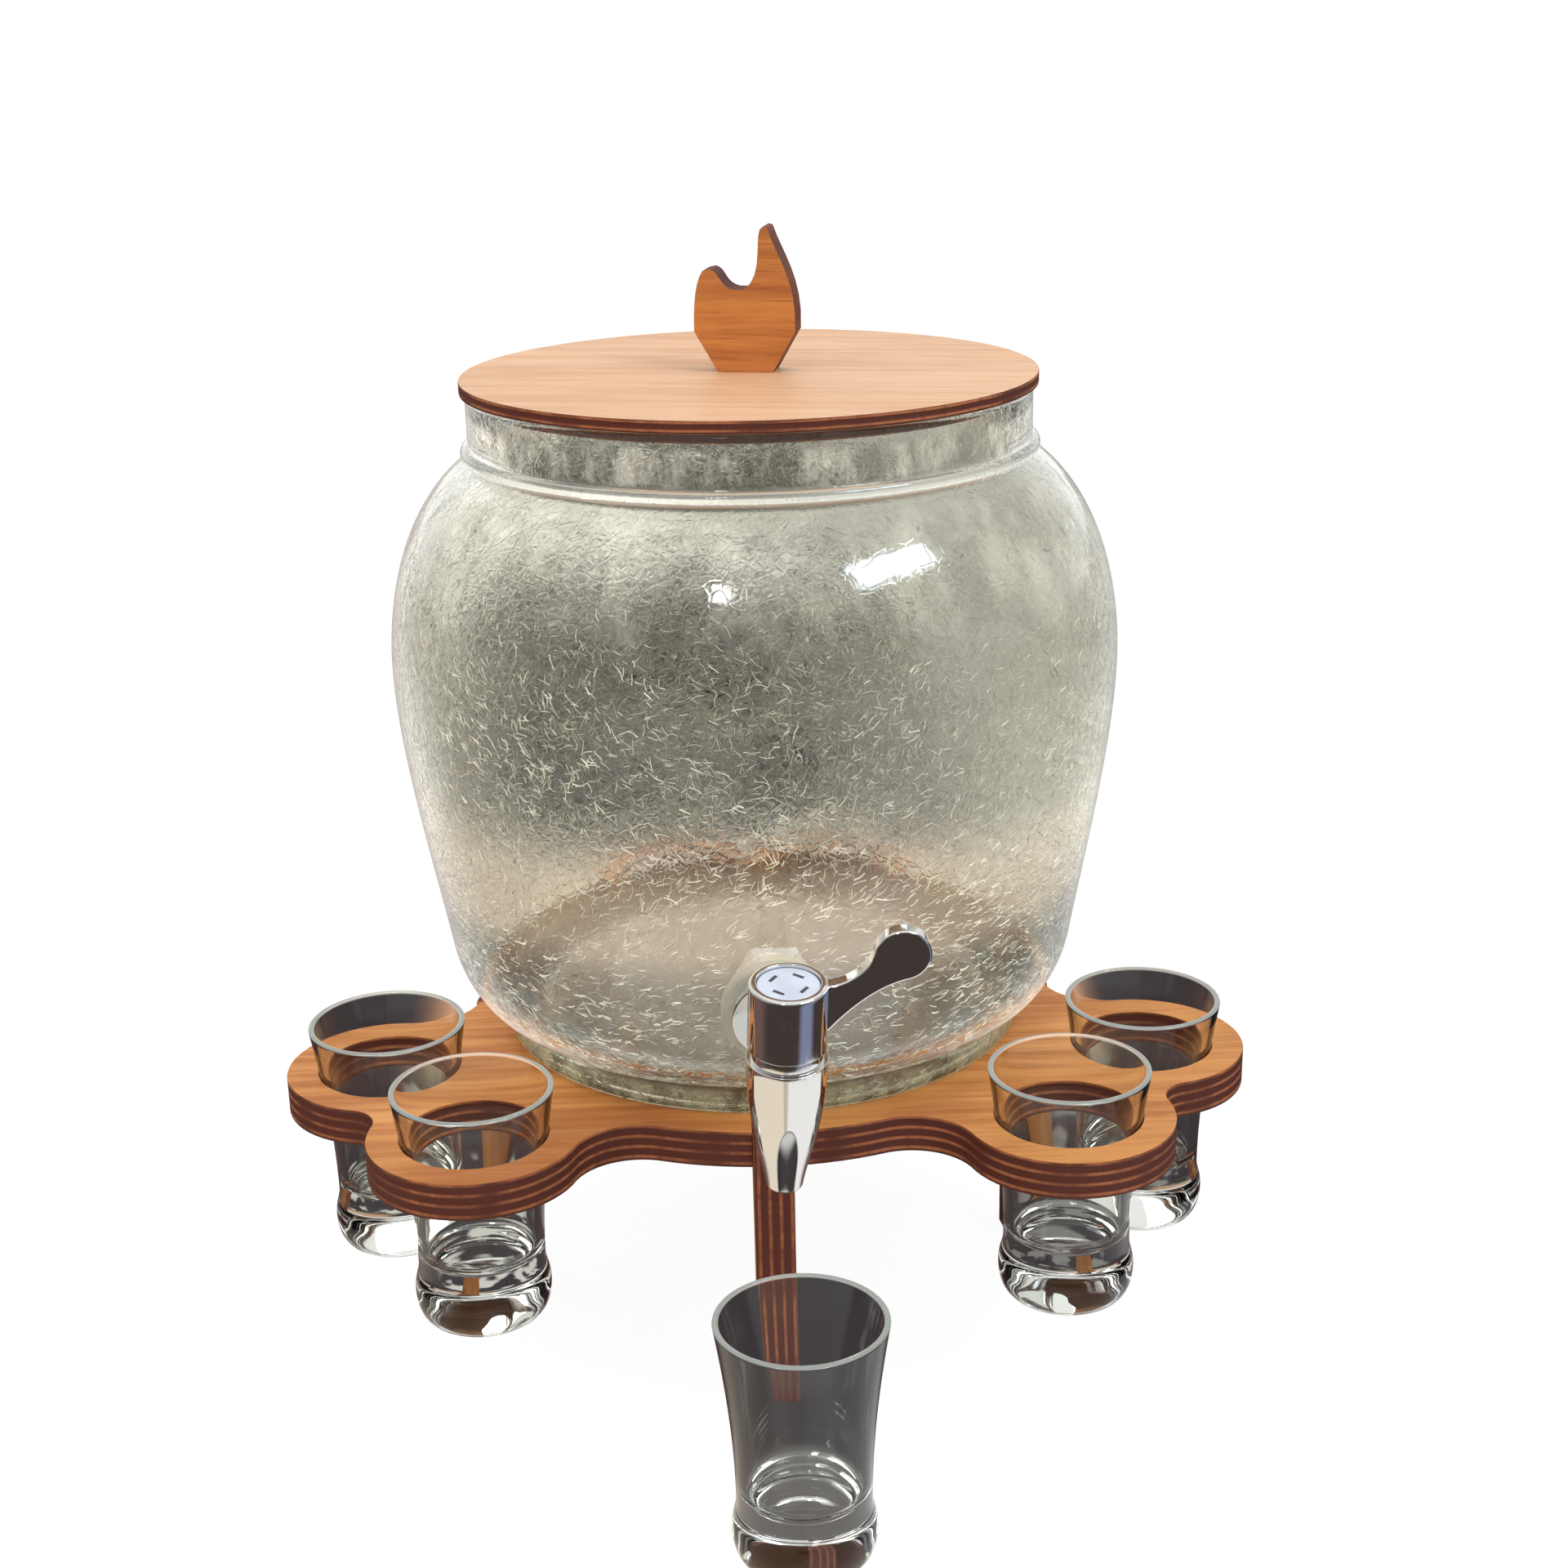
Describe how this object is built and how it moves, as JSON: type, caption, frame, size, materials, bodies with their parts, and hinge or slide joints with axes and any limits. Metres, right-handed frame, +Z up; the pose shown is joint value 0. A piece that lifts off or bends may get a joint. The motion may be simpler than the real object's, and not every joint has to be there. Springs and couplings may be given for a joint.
{
  "type": "drinks dispenser",
  "caption": "Crackle-glass drinks jar with a wooden lid and a lever tap, on a low plywood stand whose round lobes hold small tapered glasses.",
  "frame": {"origin": "middle of the whole set's outline, on the table that it stands on", "axes": "+Z up, -Y towards the tap and the person who pours, +X to that person's right"},
  "size_m": [0.3112, 0.354, 0.3585],
  "materials": {
    "stand_wood": "stained plywood, burnt edges",
    "lid_wood": "pale oiled plywood, burnt edges",
    "knob_wood": "stained plywood",
    "crackle_glass": "crackled inside the wall",
    "clear_glass": "clear, polished",
    "chrome": "polished",
    "steel": "plain",
    "silicone": "translucent",
    "white_plastic": "moulded",
    "cap_plastic": "moulded",
    "black_rubber": "smooth"
  },
  "bodies": {
    "stand": {"stand_plate": "stand_wood", "leg_front": "stand_wood", "leg_left": "stand_wood", "leg_right": "stand_wood", "leg_back": "stand_wood"},
    "jar": {"jar": "crackle_glass", "tap_body": "chrome", "tap_collar": "chrome", "tap_outer_gasket": "silicone", "tap_inner_gasket": "silicone", "tap_nut": "white_plastic"},
    "lid": {"lid_top_disc": "lid_wood", "lid_locating_disc": "lid_wood", "lid_knob": "knob_wood", "lid_knob_screw": "steel"},
    "tap_handle": {"tap_barrel": "chrome", "tap_cap": "cap_plastic", "tap_plug": "white_plastic", "tap_plug_rings": "black_rubber", "tap_plug_screw": "steel"},
    "glass_front_left": {"glass_front_left": "clear_glass"},
    "glass_side_left": {"glass_side_left": "clear_glass"},
    "glass_front_right": {"glass_front_right": "clear_glass"},
    "glass_side_right": {"glass_side_right": "clear_glass"},
    "glass_back_right": {"glass_back_right": "clear_glass"},
    "glass_under_spout": {"glass_under_spout": "clear_glass"}
  },
  "joints": [
    {"name": "jar_lift", "type": "slide", "parent": "stand", "child": "jar", "axis": [0, 0, 1], "range_m": [0, 0.12]},
    {"name": "lid_lift", "type": "slide", "parent": "jar", "child": "lid", "axis": [0, 0, 1], "range_m": [0, 0.1]},
    {"name": "tap_turn", "type": "hinge", "parent": "jar", "child": "tap_handle", "pos_m": [0.00302, -0.14035, 0.15522], "axis": [0.0286, -0.156, 0.9873], "range_deg": [-90, 0]},
    {"name": "glass_front_left_lift", "type": "slide", "parent": "stand", "child": "glass_front_left", "axis": [0, 0, 1], "range_m": [0, 0.018]},
    {"name": "glass_side_left_lift", "type": "slide", "parent": "stand", "child": "glass_side_left", "axis": [0, 0, 1], "range_m": [0, 0.018]},
    {"name": "glass_front_right_lift", "type": "slide", "parent": "stand", "child": "glass_front_right", "axis": [0, 0, 1], "range_m": [0, 0.018]},
    {"name": "glass_side_right_lift", "type": "slide", "parent": "stand", "child": "glass_side_right", "axis": [0, 0, 1], "range_m": [0, 0.018]},
    {"name": "glass_back_right_lift", "type": "slide", "parent": "stand", "child": "glass_back_right", "axis": [0, 0, 1], "range_m": [0, 0.018]},
    {"name": "glass_under_spout_slide", "type": "slide", "parent": "stand", "child": "glass_under_spout", "axis": [0, -1, 0], "range_m": [0, 0.1]}
  ]
}
